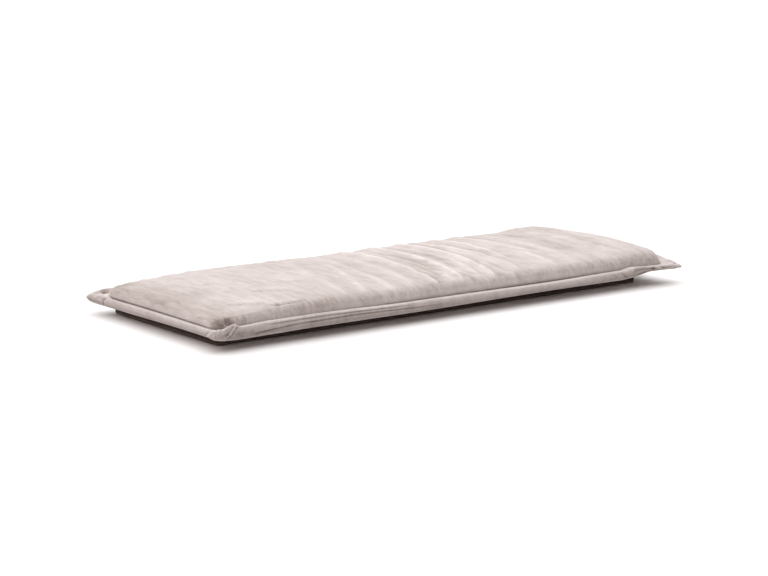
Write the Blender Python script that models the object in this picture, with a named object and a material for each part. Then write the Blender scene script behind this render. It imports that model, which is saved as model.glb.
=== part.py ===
"""Bench cushion: a long thin filled pad with a crowned top, a folded border strip sewn round
its side with a pointed ear at each corner, and a dark cloth sewn on underneath.

Metres, +Z up. The origin is on the surface that the cushion lies on, below the middle of its
outline. X runs along the cushion, and -Y is the long side that faces the viewer.
"""

import math

import bpy
import numpy as np

# Driving dimensions.
HALF_LENGTH = 0.600  # ear tip to ear tip is 1.2 m
HALF_WIDTH = 0.245  # and 0.49 m the other way
SEWING_GAP = 0.0003  # between two pieces that are sewn face to face

# The seam where the border strip is sewn to the pad.
SEAM_INSET_X = 0.018
SEAM_INSET_Y = 0.025
SEAM_CORNER = 0.030
SEAM_DRAW_IN = 0.004  # the sides pull in between the corners
SEAM_TOP = 0.0405
SEAM_FOOT = 0.0215

# The pad's top rolls out over the seam and then rises to the crown. The rise has two shares:
# a round roll close to the rim, and a slow swell over the whole pad.
ROLL_OUT = 0.003
ROLL_HEIGHT = 0.0485
ROLL_SHARE = 0.50
ROLL_LONG_SIDE = 0.045
ROLL_LEFT_END = 0.105
ROLL_RIGHT_END = 0.040
SWELL_LEFT_END = 0.600
SWELL_RIGHT_END = 0.180  # the filling is fuller at this end

# The dark underside cloth: a shallow tray that the foot of the pad sits in.
BASE_CENTRE_X = -0.016
BASE_CENTRE_Y = 0.015
BASE_HALF_X = 0.540
BASE_HALF_Y = 0.193
BASE_CORNER = 0.022
BASE_HEIGHT = 0.013
BASE_CLOTH = 0.0025
BASE_TURN = 0.004

# The border strip.
EDGE_DRAW_IN = 0.006
EDGE_DRAW_REACH = 0.080
TIP_BLUNT = 0.0008
EAR_THICKNESS = 0.006

# Steps along the sides: by the corners they get shorter and shorter, and between they are even.
CORNER_GRADE = 1.6
LONG_CORNER_RUN = 0.064
LONG_CORNER_STEPS = 8
LONG_MIDDLE_STEPS = 68
SHORT_CORNER_RUN = 0.054
SHORT_CORNER_STEPS = 7
SHORT_MIDDLE_STEPS = 14

# The ears: the corner as signs of x and y, the height of the tip, and how far from the tip the
# strip has its full height again above, and below on the long and on the short side.
EARS = (
    # sign_x, sign_y, tip_height, above, below_on_long, below_on_short
    (-1, -1, 0.0235, 0.045, 0.050, 0.050),
    (1, -1, 0.0365, 0.028, 0.150, 0.080),
    (1, 1, 0.0340, 0.030, 0.070, 0.070),
    (-1, 1, 0.0340, 0.027, 0.060, 0.045),
)

# The border's foot and lip at places round the cushion, each as shares of the half length and
# the half width. The heights run smoothly from one place to the next.
EDGE = (
    # share_x, share_y, foot, lip
    (-0.90, -1.0, 0.0190, 0.0440),
    (-0.66, -1.0, 0.0205, 0.0468),
    (-0.20, -1.0, 0.0198, 0.0425),
    (0.43, -1.0, 0.0225, 0.0405),
    (0.78, -1.0, 0.0210, 0.0425),
    (1.0, -0.86, 0.0220, 0.0475),
    (1.0, -0.40, 0.0220, 0.0430),
    (1.0, 0.60, 0.0220, 0.0430),
    (0.50, 1.0, 0.0215, 0.0430),
    (-0.50, 1.0, 0.0215, 0.0430),
    (-0.95, 1.0, 0.0225, 0.0460),
    (-1.0, 0.70, 0.0225, 0.0400),
    (-1.0, -0.60, 0.0215, 0.0398),
)

# Height of the crown along the middle of the cushion, as a share of the half length.
CROWN = (
    # share_x, height
    (-1.0, 0.0790),
    (-0.5, 0.0785),
    (-0.1, 0.0745),
    (0.2, 0.0750),
    (0.6, 0.0790),
    (0.85, 0.0845),
    (1.0, 0.0895),
)

# The border's section, going round it: how far out it is, as a share of the way from the seam
# to the outer edge, and how far up it is, as a share of the way from its foot to its lip.
SECTION = (
    # share_out, share_up
    (0.00, 0.03),
    (0.00, 0.70),
    (0.20, 0.84),
    (0.46, 0.96),
    (0.70, 1.00),
    (0.90, 0.93),
    (1.00, 0.75),
    (1.00, 0.45),
    (0.97, 0.20),
    (0.86, 0.04),
    (0.55, 0.00),
)

# The main creases that cross the pad, as soft ridges (height over 0) and troughs (below 0).
CREASES = (
    # x_at_back, x_at_front, y_from, y_to, half_width, height
    (-0.155, -0.225, 0.06, -0.20, 0.022, 0.0018),
    (-0.085, -0.150, 0.17, -0.19, 0.020, -0.0022),
    (-0.004, -0.050, 0.21, -0.21, 0.017, 0.0032),
    (0.035, -0.018, 0.21, -0.20, 0.018, -0.0036),
    (0.074, 0.012, 0.21, -0.21, 0.016, 0.0034),
    (0.110, 0.050, 0.20, -0.21, 0.017, -0.0036),
    (0.155, 0.096, 0.20, -0.21, 0.016, 0.0032),
    (0.182, 0.150, 0.19, -0.16, 0.014, -0.0024),
    (0.208, 0.192, 0.19, -0.10, 0.014, 0.0022),
    (0.252, 0.215, 0.20, -0.12, 0.016, 0.0024),
    (0.316, 0.310, 0.18, -0.08, 0.020, 0.0020),
    (0.345, 0.268, 0.02, -0.19, 0.018, 0.0016),
)


def smooth(share):
    """Goes from 0 to 1 with level ends."""
    share = np.clip(share, 0, 1)
    return share**2 * (3 - 2 * share)


def side_stops(half, corner_run, corner_steps, middle_steps):
    """Stops from -1 to 1 along one side, closer and closer together towards its two corners."""
    inner = 1 - corner_run / half
    corner = 1 - (1 - inner) * np.linspace(1, 0, corner_steps + 1) ** CORNER_GRADE
    middle = np.linspace(-inner, inner, middle_steps + 1)
    return np.concatenate([-corner[:0:-1], middle, corner[1:]])


def round_the_rim(long_stops, short_stops):
    """The stops in order round the rim, counter-clockwise from the front left corner."""
    one_long = np.ones(len(long_stops) - 1)
    one_short = np.ones(len(short_stops) - 1)
    u = np.concatenate([long_stops[:-1], one_short, long_stops[:0:-1], -one_short])
    v = np.concatenate([-one_long, short_stops[:-1], one_long, short_stops[:0:-1]])
    return u, v


def rounded(u, v, half_x, half_y, corner):
    """Maps the square -1..1 onto a rectangle, with each corner's square pressed into an arc."""
    x, y = np.abs(u) * half_x, np.abs(v) * half_y
    into_x = np.maximum(x - half_x + corner, 0)
    into_y = np.maximum(y - half_y + corner, 0)
    reach = np.maximum(np.hypot(into_x, into_y), 1e-9)
    pull = np.where(into_x * into_y > 0, np.maximum(into_x, into_y) / reach, 1)
    x = np.minimum(x, half_x - corner) + into_x * pull
    y = np.minimum(y, half_y - corner) + into_y * pull
    return np.copysign(x, u), np.copysign(y, v)


def seam_outline(u, v, out):
    """The seam's outline, moved outwards by out, with its four sides drawn in."""
    half_x = HALF_LENGTH - SEAM_INSET_X + out
    half_y = HALF_WIDTH - SEAM_INSET_Y + out
    x, y = rounded(u, v, half_x, half_y, SEAM_CORNER + out)
    return x - u * SEAM_DRAW_IN * (1 - v**2), y - v * SEAM_DRAW_IN * (1 - u**2)


def base_outline(u, v, inset):
    """The dark cloth's outline, moved inwards by inset."""
    x, y = rounded(u, v, BASE_HALF_X - inset, BASE_HALF_Y - inset, BASE_CORNER - inset)
    return x + BASE_CENTRE_X, y + BASE_CENTRE_Y


def swell(distance, roll, crown):
    """Rises from 0 at the rim to 1: a round roll close to the rim, and a slow crown."""
    quick = np.sqrt(1 - (1 - np.minimum(distance / roll, 1)) ** 2)
    slow = np.sqrt(1 - (1 - np.minimum(distance / crown, 1)) ** 2)
    return ROLL_SHARE * quick + (1 - ROLL_SHARE) * slow


def crease_height(x, y):
    """The sum of the creases, each a bell across its line that fades out at its two ends."""
    height = np.zeros_like(x)
    fade = 0.009
    for x_back, x_front, y_from, y_to, half_width, rise in CREASES:
        line = x_front + (x_back - x_front) * (y + HALF_WIDTH) / (2 * HALF_WIDTH)
        ends = 1 / (1 + np.exp((y - y_from) / fade)) / (1 + np.exp((y_to - y) / fade))
        height += rise * ends * np.exp(-(((x - line) / half_width) ** 2))
    return height


def pad_top(u, v):
    """The upper surface of the pad over the whole square of stops."""
    x, y = seam_outline(u, v, ROLL_OUT)
    from_end = (1 - np.abs(u)) * HALF_LENGTH
    from_side = (1 - np.abs(v)) * HALF_WIDTH
    end_roll = np.where(u < 0, ROLL_LEFT_END, ROLL_RIGHT_END)
    end_swell = np.where(u < 0, SWELL_LEFT_END, SWELL_RIGHT_END)
    rise = swell(from_end, end_roll, end_swell) * swell(from_side, ROLL_LONG_SIDE, HALF_WIDTH)
    crown = np.interp(u, *np.array(CROWN).T)
    z = ROLL_HEIGHT + (crown - ROLL_HEIGHT) * rise + rise * crease_height(x, y)
    return np.stack([x, y, z], axis=-1)


def level_loop(outline, height):
    x, y = outline
    return np.stack([x, y, np.full_like(x, height)], axis=-1)


def border_outline(u, v):
    """The border's outer edge: straight sides drawn in a little between its four blunt tips."""
    from_end = (1 - np.abs(u)) * HALF_LENGTH
    from_side = (1 - np.abs(v)) * HALF_WIDTH
    inset_x = EDGE_DRAW_IN * smooth(from_side / EDGE_DRAW_REACH)
    inset_y = EDGE_DRAW_IN * smooth(from_end / EDGE_DRAW_REACH)
    blunt = np.where(from_end + from_side < 1e-6, TIP_BLUNT, 0)
    x = u * HALF_LENGTH - np.sign(u) * np.where(from_end < 1e-6, inset_x, 0)
    y = v * HALF_WIDTH - np.sign(v) * np.where(from_side < 1e-6, inset_y, 0)
    return x - np.sign(u) * blunt, y - np.sign(v) * blunt


def edge_heights(u, v):
    """The border's foot and lip round the cushion, eased between the places in the table."""
    places = np.array(EDGE)
    places = places[np.argsort(np.arctan2(places[:, 1], places[:, 0]))]
    turns = np.arctan2(places[:, 1], places[:, 0])
    turns = np.concatenate([[turns[-1] - 2 * np.pi], turns, [turns[0] + 2 * np.pi]])
    heights = np.concatenate([places[-1:, 2:], places[:, 2:], places[:1, 2:]])
    turn = np.arctan2(v, u)
    before = np.clip(np.searchsorted(turns, turn, side="right") - 1, 0, len(turns) - 2)
    share = smooth((turn - turns[before]) / (turns[before + 1] - turns[before]))[:, None]
    return (heights[before] + (heights[before + 1] - heights[before]) * share).T


def border_loops(u, v):
    """One loop round the cushion for each point of the border's section."""
    inner_x, inner_y = seam_outline(u, v, SEWING_GAP)
    outer_x, outer_y = border_outline(u, v)
    foot, lip = edge_heights(u, v)
    foot_change, lip_change = np.zeros_like(u), np.zeros_like(u)
    for sign_x, sign_y, tip_height, above, below_long, below_short in EARS:
        from_end = (1 - sign_x * u) * HALF_LENGTH
        from_side = (1 - sign_y * v) * HALF_WIDTH
        near_above = np.maximum(1 - (from_end + from_side) / above, 0) ** 1.5
        near_below = np.maximum(1 - from_end / below_long - from_side / below_short, 0) ** 1.5
        lip_change += near_above * (tip_height + EAR_THICKNESS / 2 - lip)
        foot_change += near_below * (tip_height - EAR_THICKNESS / 2 - foot)
    loops = []
    for share_out, share_up in SECTION:
        low = foot + foot_change * share_out
        high = lip + lip_change * share_out
        x = inner_x + (outer_x - inner_x) * share_out
        y = inner_y + (outer_y - inner_y) * share_out
        loops.append(np.stack([x, y, low + (high - low) * share_up], axis=-1))
    return loops


def band_faces(first, second, count):
    """Faces between two loops of count points, the first below the second, facing outwards."""
    here = np.arange(count)
    after = (here + 1) % count
    return np.stack([first + here, first + after, second + after, second + here], axis=-1)


def grid_faces(columns, rows):
    """Upward faces over a grid of points that is stored column by column."""
    i, j = np.meshgrid(np.arange(columns - 1), np.arange(rows - 1), indexing="ij")
    corner = (i * rows + j).ravel()
    return np.stack([corner, corner + rows, corner + rows + 1, corner + 1], axis=-1)


def cloth(name, colour, roughness):
    material = bpy.data.materials.new(name)
    material.use_nodes = True
    shader = material.node_tree.nodes["Principled BSDF"]
    shader.inputs["Base Color"].default_value = (*colour, 1)
    shader.inputs["Roughness"].default_value = roughness
    shader.inputs["Metallic"].default_value = 0
    return material


def add_piece(name, points, faces, material, parent):
    mesh = bpy.data.meshes.new(name)
    mesh.from_pydata(points.tolist(), [], faces)
    mesh.materials.append(material)
    mesh.shade_smooth()
    mesh.set_sharp_from_angle(angle=math.radians(50))
    piece = bpy.data.objects.new(name, mesh)
    piece.parent = parent
    bpy.context.scene.collection.objects.link(piece)
    return piece


def build_pad(long_stops, short_stops, material, parent):
    """The filled pad: its crowned top, the seam wall, and the foot that sits in the tray."""
    u, v = np.meshgrid(long_stops, short_stops, indexing="ij")
    top = pad_top(u, v).reshape(-1, 3)
    rim_u, rim_v = round_the_rim(long_stops, short_stops)
    count = len(rim_u)
    index = np.arange(len(top)).reshape(u.shape)
    rim = np.concatenate([index[:-1, 0], index[-1, :-1], index[:0:-1, -1], index[0, :0:-1]])
    inside = BASE_CLOTH + SEWING_GAP
    loops = [
        level_loop(seam_outline(rim_u, rim_v, 0), SEAM_TOP),
        level_loop(seam_outline(rim_u, rim_v, 0), SEAM_FOOT),
        level_loop(base_outline(rim_u, rim_v, 0), BASE_HEIGHT + SEWING_GAP),
        level_loop(base_outline(rim_u, rim_v, inside), BASE_HEIGHT + SEWING_GAP),
        level_loop(base_outline(rim_u, rim_v, inside), inside + BASE_TURN),
        level_loop(base_outline(rim_u, rim_v, inside + BASE_TURN), inside),
    ]
    faces = grid_faces(*u.shape).tolist()
    start = len(top)
    here = np.arange(count)
    after = (here + 1) % count
    faces += np.stack([start + here, start + after, rim[after], rim[here]], axis=-1).tolist()
    for level in range(1, len(loops)):
        faces += band_faces(start + level * count, start + (level - 1) * count, count).tolist()
    faces.append((start + (len(loops) - 1) * count + here[::-1]).tolist())
    add_piece("cushion_pad", np.concatenate([top, *loops]), faces, material, parent)


def build_border(long_stops, short_stops, material, parent):
    """The folded strip, sewn on as one ring with four ears."""
    loops = border_loops(*round_the_rim(long_stops, short_stops))
    count = len(loops[0])
    faces = []
    for level in range(len(loops)):
        following = (level + 1) % len(loops)
        faces += band_faces(following * count, level * count, count).tolist()
    add_piece("border_strip", np.concatenate(loops), faces, material, parent)


def build_base(material, parent):
    """The dark underside cloth: flat below, and turned up round the foot of the pad."""
    long_stops = side_stops(BASE_HALF_X, BASE_CORNER, 6, 4)
    short_stops = side_stops(BASE_HALF_Y, BASE_CORNER, 6, 2)
    u, v = round_the_rim(long_stops, short_stops)
    count = len(u)
    loops = [
        level_loop(base_outline(u, v, BASE_TURN), 0),
        level_loop(base_outline(u, v, BASE_TURN / 4), BASE_TURN / 4),
        level_loop(base_outline(u, v, 0), BASE_TURN),
        level_loop(base_outline(u, v, 0), BASE_HEIGHT),
        level_loop(base_outline(u, v, BASE_CLOTH), BASE_HEIGHT),
        level_loop(base_outline(u, v, BASE_CLOTH), BASE_CLOTH + BASE_TURN),
        level_loop(base_outline(u, v, BASE_CLOTH + BASE_TURN), BASE_CLOTH),
    ]
    faces = []
    for level in range(1, len(loops)):
        faces += band_faces((level - 1) * count, level * count, count).tolist()
    faces.append(np.arange(count)[::-1].tolist())
    faces.append(((len(loops) - 1) * count + np.arange(count)).tolist())
    add_piece("underside_cloth", np.concatenate(loops), faces, material, parent)


for leftover in list(bpy.data.objects):
    bpy.data.objects.remove(leftover, do_unlink=True)

cushion = bpy.data.objects.new("bench_cushion", None)
bpy.context.scene.collection.objects.link(cushion)
sand_cloth = cloth("sand_cover_cloth", (0.71, 0.63, 0.60), 0.9)
dark_cloth = cloth("dark_underside_cloth", (0.012, 0.011, 0.011), 0.85)
seam_half_x = HALF_LENGTH - SEAM_INSET_X
seam_half_y = HALF_WIDTH - SEAM_INSET_Y
long_side = side_stops(seam_half_x, LONG_CORNER_RUN, LONG_CORNER_STEPS, LONG_MIDDLE_STEPS)
short_side = side_stops(seam_half_y, SHORT_CORNER_RUN, SHORT_CORNER_STEPS, SHORT_MIDDLE_STEPS)
build_pad(long_side, short_side, sand_cloth, cushion)
build_border(long_side, short_side, sand_cloth, cushion)
build_base(dark_cloth, cushion)
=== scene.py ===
"""The looks of the bench cushion: the filled pad with its creases and gathered seam, the folded
border strip with its four ears, the dark cloth underneath and the sewing thread, on a pale floor.

Metres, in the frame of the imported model: X runs along the cushion, -Y is the long side that
faces the viewer, and the floor is at height 0.
"""

import math

import bpy
import numpy as np
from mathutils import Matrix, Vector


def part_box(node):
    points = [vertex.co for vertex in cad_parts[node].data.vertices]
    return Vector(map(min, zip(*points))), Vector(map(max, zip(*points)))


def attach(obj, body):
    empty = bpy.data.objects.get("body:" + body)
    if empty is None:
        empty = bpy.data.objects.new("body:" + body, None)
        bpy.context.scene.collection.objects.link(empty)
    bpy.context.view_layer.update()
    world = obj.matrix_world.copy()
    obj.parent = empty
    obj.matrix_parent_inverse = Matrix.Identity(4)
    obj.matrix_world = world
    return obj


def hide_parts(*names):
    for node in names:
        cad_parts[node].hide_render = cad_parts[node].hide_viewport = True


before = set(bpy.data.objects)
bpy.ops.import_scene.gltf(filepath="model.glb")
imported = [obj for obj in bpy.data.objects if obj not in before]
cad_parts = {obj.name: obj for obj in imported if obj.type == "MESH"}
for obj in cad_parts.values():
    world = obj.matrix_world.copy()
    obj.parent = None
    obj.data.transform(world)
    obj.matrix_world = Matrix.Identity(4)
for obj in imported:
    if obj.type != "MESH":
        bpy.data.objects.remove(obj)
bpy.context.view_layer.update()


# The filled pad. A bag of pale woven cloth over soft filling, made of one top panel whose edge
# rolls over the seam. The filling draws its sides in, and the cloth, a little too long for it,
# lies in soft creases across the middle and is gathered where the border strip is sewn on.

border_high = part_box("border_strip")[1]
HALF_LENGTH = border_high.x  # to the tips of the ears
HALF_WIDTH = border_high.y
SEAM_INSET_X, SEAM_INSET_Y = 0.018, 0.025
# sign_x, sign_y, radius
SEAM_CORNERS = ((-1, -1, 0.022), (1, -1, 0.045), (1, 1, 0.034), (-1, 1, 0.065))
SEAM_DRAW_IN = 0.004
SEAM_TOP, SEAM_FOOT = 0.0405, 0.0215
SEAM_FOOT_RISE, FOOT_RISE_FROM, FOOT_RISE_REACH = 0.0100, 0.030, 0.100  # round corner (1, -1)
ROLL_OUT, ROLL_HEIGHT = 0.003, 0.0470
ROLL_LEFT_RISE, ROLL_LEFT_OUT, ROLL_LEFT_SHARE = 0.0028, 0.0022, 0.10  # of the half length
ROLL_SHARE, ROLL_SHARE_LEFT = 0.50, 0.60  # of the rise, the rest being the crown's slow swell
ROLL_LONG_SIDE, ROLL_LEFT_END, ROLL_RIGHT_END = 0.026, 0.140, 0.036
ROLL_LEFT_LONGER = 0.035  # at the back of the left end, where the roll rises more slowly
SWELL_LEFT_END, SWELL_RIGHT_END = 0.600, 0.115
CROWN = (
    # share_x, height
    (-1, 0.0768),
    (-0.6, 0.0775),
    (-0.45, 0.0758),
    (-0.1, 0.0725),
    (0.2, 0.0725),
    (0.6, 0.0756),
    (0.76, 0.0773),
    (0.88, 0.0858),
    (1, 0.0925),
)
FOOT_CENTRE_X, FOOT_CENTRE_Y = -0.016, 0.015
FOOT_HALF_X, FOOT_HALF_Y, FOOT_CORNER = 0.540, 0.193, 0.007
FOOT_TOP, FOOT_CLOTH = 0.0133, 0.0028
FOOT_EASE, FOOT_TURN = 0.001, 0.004  # where the foot meets the dark cloth, and at its lower edge

GATHER_LONG_SIDE, GATHER_END, GATHER_REACH = 0.0030, 0.0013, 0.010
SOFT_HOLLOW, STREAK, STREAK_MIDDLE = 0.0016, 0.0003, 0.0008
MIDDLE_X, MIDDLE_REACH = 0.12, 0.24  # where the cloth is most creased
RISE_FADE = 0.010  # above the roll, over which creases and ripples come in
MOST_SWELL, SWELL_FRAMES = 0.005, 20

PAD_STEPS_X, PAD_STEPS_Y = 600, 140
PAD_GRADE_X, PAD_GRADE_Y = 0.25, 0.55  # how much shorter the steps get towards the rim

CREASES = (
    # x_back, y_back, x_front, y_front, bow, half_width, height
    (-0.002, 0.215, -0.05, -0.218, 0.018, 0.0062, 0.0052),
    (0.072, 0.215, 0.01, -0.224, 0.025, 0.0058, 0.006),
    (0.143, 0.212, 0.092, -0.224, 0.03, 0.0058, 0.0058),
    (0.182, 0.215, 0.203, -0.07, 0.005, 0.0055, 0.0046),
    (0.25, 0.215, 0.223, -0.105, 0.01, 0.0062, 0.0044),
    (0.312, 0.21, 0.314, -0.08, 0.002, 0.0085, 0.0034),
    (0.302, -0.05, 0.272, -0.2, 0, 0.0075, 0.0034),
    (-0.124, 0.08, -0.234, -0.222, 0.004, 0.008, 0.0022),
    (-0.126, -0.06, -0.162, -0.222, 0.003, 0.007, 0.0022),
    (0.02, 0.205, -0.03, -0.205, 0.02, 0.0045, 0.0026),
    (0.034, 0.19, -0.012, -0.224, 0.022, 0.0045, 0.003),
    (0.09, 0.2, 0.03, -0.222, 0.026, 0.0042, 0.0028),
    (0.118, 0.205, 0.062, -0.215, 0.028, 0.0045, 0.003),
    (0.16, 0.2, 0.128, -0.21, 0.022, 0.0042, 0.0026),
    (0.222, 0.2, 0.178, -0.2, 0.012, 0.005, 0.0024),
    (-0.045, 0.205, -0.1, -0.205, 0.014, 0.007, 0.0022),
    (-0.085, 0.195, -0.15, -0.12, 0.008, 0.008, 0.0018),
    (-0.19, 0.15, -0.275, -0.215, 0.004, 0.009, 0.0016),
    (0.372, 0.19, 0.352, -0.12, 0.006, 0.011, 0.0018),
    (0.05, 0.15, -0.004, -0.17, 0.02, 0.014, -0.0038),
    (0.11, 0.15, 0.07, -0.12, 0.02, 0.012, -0.0036),
    (-0.02, -0.08, -0.04, -0.214, 0.004, 0.01, -0.0034),
    (0.168, 0.11, 0.12, -0.14, 0.018, 0.01, -0.003),
    (0.215, 0.15, 0.2, -0.08, 0.008, 0.014, -0.0026),
    (-0.52, -0.14, -0.44, -0.195, 0.006, 0.005, -0.002),
    (-0.555, -0.206, -0.47, -0.208, 0, 0.004, 0.0014),
    (-0.47, -0.208, -0.39, -0.207, 0, 0.004, 0.0018),
    (-0.46, -0.196, -0.36, -0.199, -0.003, 0.0045, -0.0024),
    (-0.43, -0.075, -0.34, -0.13, 0.006, 0.0055, -0.0022),
    (-0.48, 0.04, -0.42, 0.01, 0.004, 0.006, -0.0014),
    (-0.47, -0.045, -0.43, -0.066, 0.002, 0.005, -0.0018),
    (-0.345, -0.03, -0.27, -0.075, 0.004, 0.006, -0.0014),
    (0.43, 0.15, 0.405, -0.11, 0.01, 0.016, -0.002),
    (0.505, 0.12, 0.48, -0.12, 0.006, 0.014, -0.0016),
)
CREASE_FADE = 0.030
HOLLOW_AT, HOLLOW_WIDTH, HOLLOW_SHARE = 2.9, 2.0, 0.42  # beside a crease, in its half widths
CREASE_HIGHLIGHT_HEIGHT, HOLLOW_PAINTED_SHADE = 0.006, 0.55  # the crease height for a full painted highlight, and the hollow's share of painted shade
PAD_PULLS = (
    # x, y, z, reach, along_x, along_y, along_z
    (-0.554, -0.22, 0.049, 0.0085, 0.001, 0.013, -0.008),
    (-0.548, -0.21, 0.056, 0.0075, 0.001, 0.006, -0.0045),
    (-0.576, -0.213, 0.048, 0.012, -0.0035, -0.005, -0.003),
    (-0.53, -0.219, 0.058, 0.012, 0, -0.002, 0.001),
    (0.58, -0.205, 0.054, 0.02, -0.008, 0, -0.003),
    (0.57, -0.215, 0.046, 0.012, 0.002, -0.002, -0.003),
    (0.525, -0.221, 0.048, 0.007, 0, 0.004, 0),
    (0.47, -0.221, 0.047, 0.006, 0, 0.004, 0),
    (-0.428, -0.195, 0.063, 0.007, 0, 0.002, -0.0035),
)


def from_rim(u, v):
    """The distances from the nearer end and from the nearer long side."""
    return (1 - np.abs(u)) * HALF_LENGTH, (1 - np.abs(v)) * HALF_WIDTH


def gaussian(away, reach):
    """A bell that is 1 at no distance and 1/e at its reach."""
    return np.exp(-((away / reach) ** 2))


def eased(share):
    """A cubic that goes from 0 to 1 with level ends."""
    share = np.clip(share, 0, 1)
    return share**2 * (3 - 2 * share)


def graded(steps, grade):
    """Stops from -1 to 1: an even run mixed with a sine, which shortens the steps at its ends."""
    even = np.linspace(-1, 1, steps + 1)
    return (1 - grade) * even + grade * np.sin(even * np.pi / 2)


def pressed(u, v, half_x, half_y, corner):
    """The square of u and v stretched to a rectangle, with each corner pressed into an arc."""
    x, y = np.abs(u) * half_x, np.abs(v) * half_y
    into_x = np.maximum(x - half_x + corner, 0)
    into_y = np.maximum(y - half_y + corner, 0)
    reach = np.maximum(np.hypot(into_x, into_y), 1e-9)
    pull = np.where(into_x * into_y > 0, np.maximum(into_x, into_y) / reach, 1)
    x = x - into_x * (1 - pull)
    y = y - into_y * (1 - pull)
    return np.copysign(x, u), np.copysign(y, v)


def seam_line(u, v, out):
    """The seam's outline moved outwards: a rounded rectangle less a parabola along each side."""
    half_x = HALF_LENGTH - SEAM_INSET_X + out
    half_y = HALF_WIDTH - SEAM_INSET_Y + out
    corner = sum(
        radius * ((u < 0) == (sign_x < 0)) * ((v < 0) == (sign_y < 0))
        for sign_x, sign_y, radius in SEAM_CORNERS
    )
    x, y = pressed(u, v, half_x, half_y, corner + out)
    return x - u * SEAM_DRAW_IN * (1 - v**2), y - v * SEAM_DRAW_IN * (1 - u**2)


def arch(distance, reach):
    """A quarter of a circle stretched to that reach: 0 at the rim and 1 past the reach."""
    return np.sqrt(1 - (1 - np.minimum(distance / reach, 1)) ** 2)


def at_left(u):
    """A share that eases from 0 to 1 over the last stretch of the left end."""
    return eased((-u - (1 - ROLL_LEFT_SHARE)) / ROLL_LEFT_SHARE)


def roll_height(u):
    """The height at which the roll sticks out furthest, a little higher along the left end."""
    return ROLL_HEIGHT + ROLL_LEFT_RISE * at_left(u)


def roll_out(u):
    """How far the roll sticks out over the seam, a little further along the left end."""
    return ROLL_OUT + ROLL_LEFT_OUT * at_left(u)


def pad_crown(u, v):
    """The smooth top: the roll's height plus a product of two arches, one for each direction."""
    x, y = seam_line(u, v, roll_out(u))
    from_end, from_side = from_rim(u, v)
    left_roll = ROLL_LEFT_END + ROLL_LEFT_LONGER * eased((v + 1) / 2)
    end_roll = np.where(u < 0, left_roll, ROLL_RIGHT_END)
    end_swell = np.where(u < 0, SWELL_LEFT_END, SWELL_RIGHT_END)
    end_share = np.where(u < 0, ROLL_SHARE_LEFT, ROLL_SHARE)
    along = end_share * arch(from_end, end_roll) + (1 - end_share) * arch(from_end, end_swell)
    across = ROLL_SHARE * arch(from_side, ROLL_LONG_SIDE)
    across = across + (1 - ROLL_SHARE) * arch(from_side, HALF_WIDTH)
    crown = np.interp(u, *np.array(CROWN).T)
    z = roll_height(u) + (crown - roll_height(u)) * along * across
    return np.stack([x, y, z], axis=-1)


def sines(x, y, seed, count, longest, shortest, heading, spread):
    """A sum of sine waves of falling length, each heading a little differently, within -1 to 1."""
    draw = np.random.default_rng(seed)
    total, most = np.zeros_like(x), 0
    for length in np.geomspace(longest, shortest, count):
        angle = heading + spread * draw.uniform(-1, 1)
        phase = draw.uniform(0, 2 * np.pi)
        share = (length / longest) ** 0.6
        across = x * math.cos(angle) + y * math.sin(angle)
        total = total + share * np.sin(2 * np.pi * across / length + phase)
        most += share
    return total / most


def crease_relief(x, y):
    """The creases' heights and their painted light and shade: 1 on a top, below 0 in a hollow.

    Each crease is a bell across a bowed line with a wider hollow along its right, and it fades
    out at both ends.
    """
    relief, rubbed = np.zeros_like(x), np.zeros_like(x)
    for x_back, y_back, x_front, y_front, bow, half_width, height in CREASES:
        run_x, run_y = x_front - x_back, y_front - y_back
        length = math.hypot(run_x, run_y)
        share = ((x - x_back) * run_x + (y - y_back) * run_y) / length**2
        aside = ((y - y_back) * run_x - (x - x_back) * run_y) / length
        aside = aside - 4 * bow * share * (1 - share)
        ends = eased(share * length / CREASE_FADE) * eased((1 - share) * length / CREASE_FADE)
        bell = ends / (1 + (aside / half_width) ** 2) ** 1.5
        hollow = ends * gaussian(aside - HOLLOW_AT * half_width, HOLLOW_WIDTH * half_width)
        relief += height * (bell - HOLLOW_SHARE * hollow)
        rubbed += height / CREASE_HIGHLIGHT_HEIGHT * (bell - HOLLOW_PAINTED_SHADE * hollow)
    return relief, rubbed


def pulled(points, pulls):
    """The points, each drawn along a pull by a Gaussian of its distance from the pull's centre."""
    for x, y, z, reach, *along in pulls:
        away = np.linalg.norm(points - np.array([x, y, z]), axis=-1, keepdims=True)
        points = points + gaussian(away, reach) * np.array(along)
    return points


def unit(vectors):
    """The vectors at length 1."""
    return vectors / np.maximum(np.linalg.norm(vectors, axis=-1, keepdims=True), 1e-12)


def normals_of(points):
    """The unit normals of a grid of points, from the cross product of its two directions."""
    return unit(np.cross(np.gradient(points, axis=0), np.gradient(points, axis=1)))


def gathers(points, u, v):
    """Puckers that run in from the seam: fine waves along each side, strongest near the rim."""
    from_end, from_side = from_rim(u, v)
    x, y = points[..., 0], points[..., 1]
    along_x = sines(x, y * 0.25, 11, 9, 0.060, 0.012, 0.0, 0.25)
    along_y = sines(x * 0.25, y, 12, 8, 0.070, 0.014, np.pi / 2, 0.25)
    patchy = 0.45 + 0.55 * eased(0.5 + 0.9 * sines(x, y, 13, 4, 0.45, 0.11, 0.0, 0.8))
    rim_x = (from_side / GATHER_REACH) * np.exp(1 - from_side / GATHER_REACH)
    rim_y = (from_end / GATHER_REACH) * np.exp(1 - from_end / GATHER_REACH)
    return patchy * (GATHER_LONG_SIDE * along_x * rim_x + GATHER_END * along_y * rim_y)


def ripples(points):
    """Low relief all over: long soft hollows, and close streaks along the creases' direction."""
    x, y = points[..., 0], points[..., 1]
    hollows = sines(x, y, 21, 7, 0.260, 0.060, 0.4, 1.4)
    streaks = sines(x, y, 22, 9, 0.040, 0.011, 0.12, 0.16)
    middle = gaussian(x - MIDDLE_X, MIDDLE_REACH)
    return SOFT_HOLLOW * hollows + (STREAK + STREAK_MIDDLE * middle) * streaks


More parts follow.
